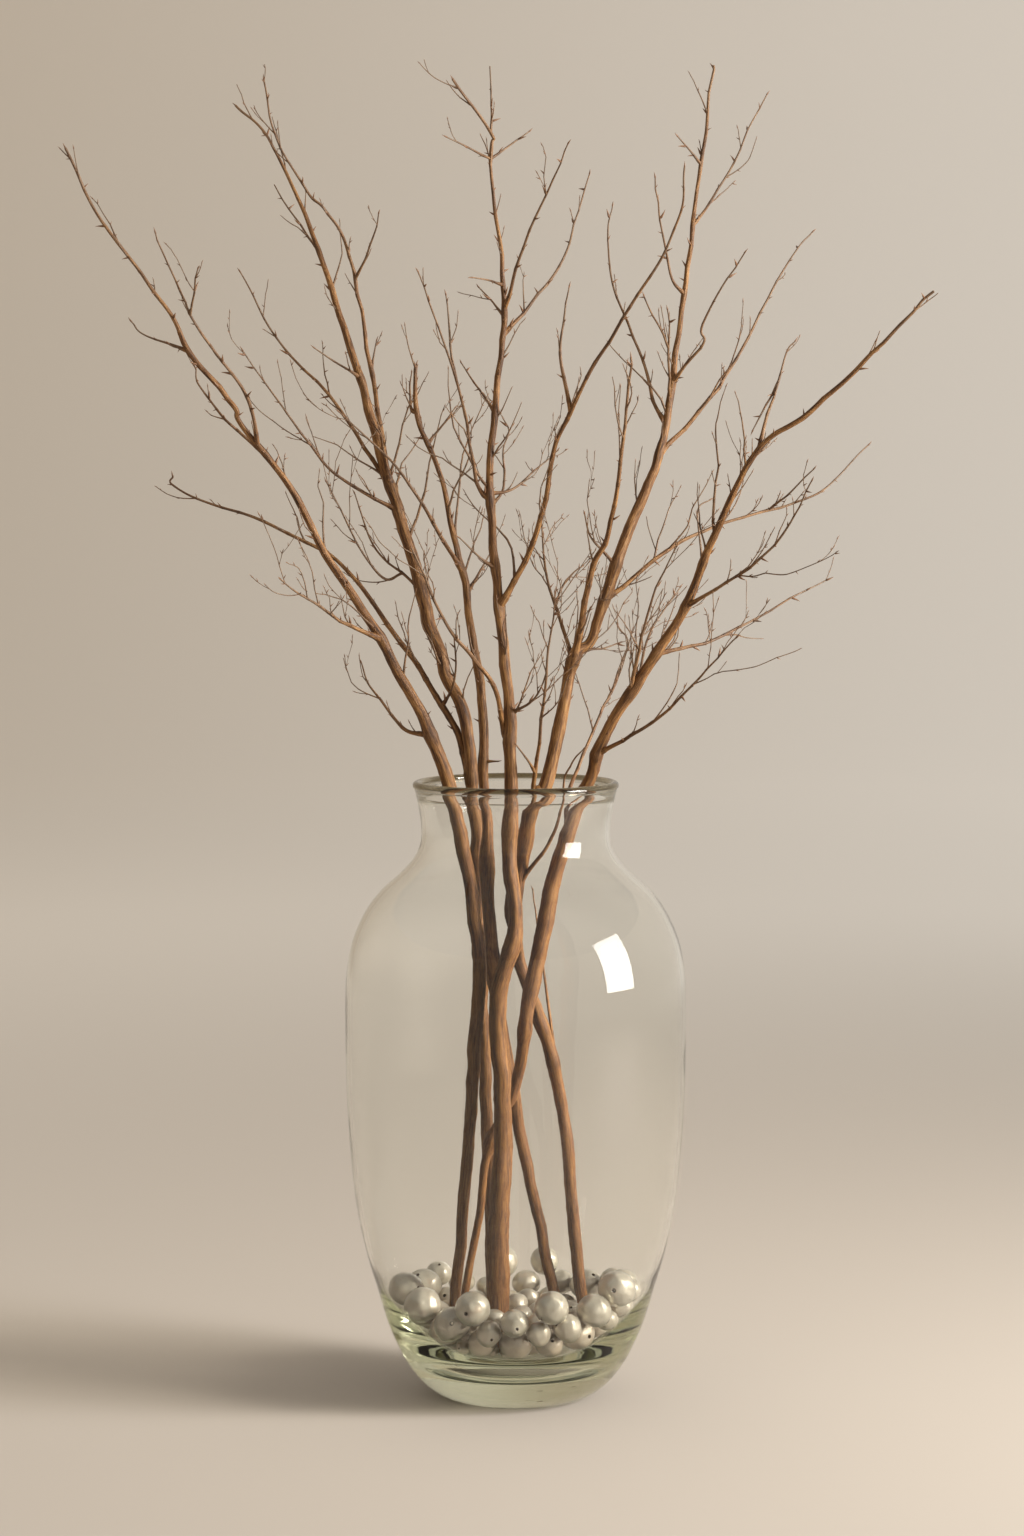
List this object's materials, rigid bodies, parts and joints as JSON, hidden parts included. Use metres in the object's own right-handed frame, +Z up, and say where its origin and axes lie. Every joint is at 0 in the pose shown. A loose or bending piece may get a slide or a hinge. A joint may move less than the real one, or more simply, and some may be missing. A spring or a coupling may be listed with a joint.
{
  "type": "willow stems in glass vase",
  "caption": "Bare curly willow stems standing in a tall shouldered clear glass vase, their feet held by a bed of loose pearls.",
  "frame": {"origin": "centre of the vase's flat foot, on the surface that it stands on", "axes": "+Z up along the vase's axis, +X to the right of the arrangement seen from its front, -Y towards its front"},
  "size_m": [0.6666, 0.3765, 1.0752],
  "materials": {
    "vase_glass": "clear polished glass with a faint sage-green tint, darker in the thick foot",
    "willow_bark": "dry fibrous bark, brown outside the vase and paler tan inside it",
    "pearl_nacre": "glossy cream nacre"
  },
  "bodies": {
    "root": {"vase": "vase_glass", "stem_far_left": "willow_bark", "stem_left": "willow_bark", "stem_back_left": "willow_bark", "stem_centre": "willow_bark", "stem_right_centre": "willow_bark", "stem_right": "willow_bark", "pearl_01": "pearl_nacre", "pearl_02": "pearl_nacre", "pearl_03": "pearl_nacre", "pearl_04": "pearl_nacre", "pearl_05": "pearl_nacre", "pearl_06": "pearl_nacre", "pearl_07": "pearl_nacre", "pearl_08": "pearl_nacre", "pearl_09": "pearl_nacre", "pearl_10": "pearl_nacre", "pearl_11": "pearl_nacre", "pearl_12": "pearl_nacre", "pearl_13": "pearl_nacre", "pearl_14": "pearl_nacre", "pearl_15": "pearl_nacre", "pearl_16": "pearl_nacre", "pearl_17": "pearl_nacre", "pearl_18": "pearl_nacre", "pearl_19": "pearl_nacre", "pearl_20": "pearl_nacre", "pearl_21": "pearl_nacre", "pearl_22": "pearl_nacre", "pearl_23": "pearl_nacre", "pearl_24": "pearl_nacre", "pearl_25": "pearl_nacre", "pearl_26": "pearl_nacre", "pearl_27": "pearl_nacre", "pearl_28": "pearl_nacre", "pearl_29": "pearl_nacre", "pearl_30": "pearl_nacre", "pearl_31": "pearl_nacre", "pearl_32": "pearl_nacre", "pearl_33": "pearl_nacre", "pearl_34": "pearl_nacre", "pearl_35": "pearl_nacre", "pearl_36": "pearl_nacre", "pearl_37": "pearl_nacre", "pearl_38": "pearl_nacre", "pearl_39": "pearl_nacre", "pearl_40": "pearl_nacre", "pearl_41": "pearl_nacre", "pearl_42": "pearl_nacre", "pearl_43": "pearl_nacre", "pearl_44": "pearl_nacre", "pearl_45": "pearl_nacre", "pearl_46": "pearl_nacre", "pearl_47": "pearl_nacre", "pearl_48": "pearl_nacre", "pearl_49": "pearl_nacre", "pearl_50": "pearl_nacre", "pearl_51": "pearl_nacre", "pearl_52": "pearl_nacre"}
  },
  "joints": []
}
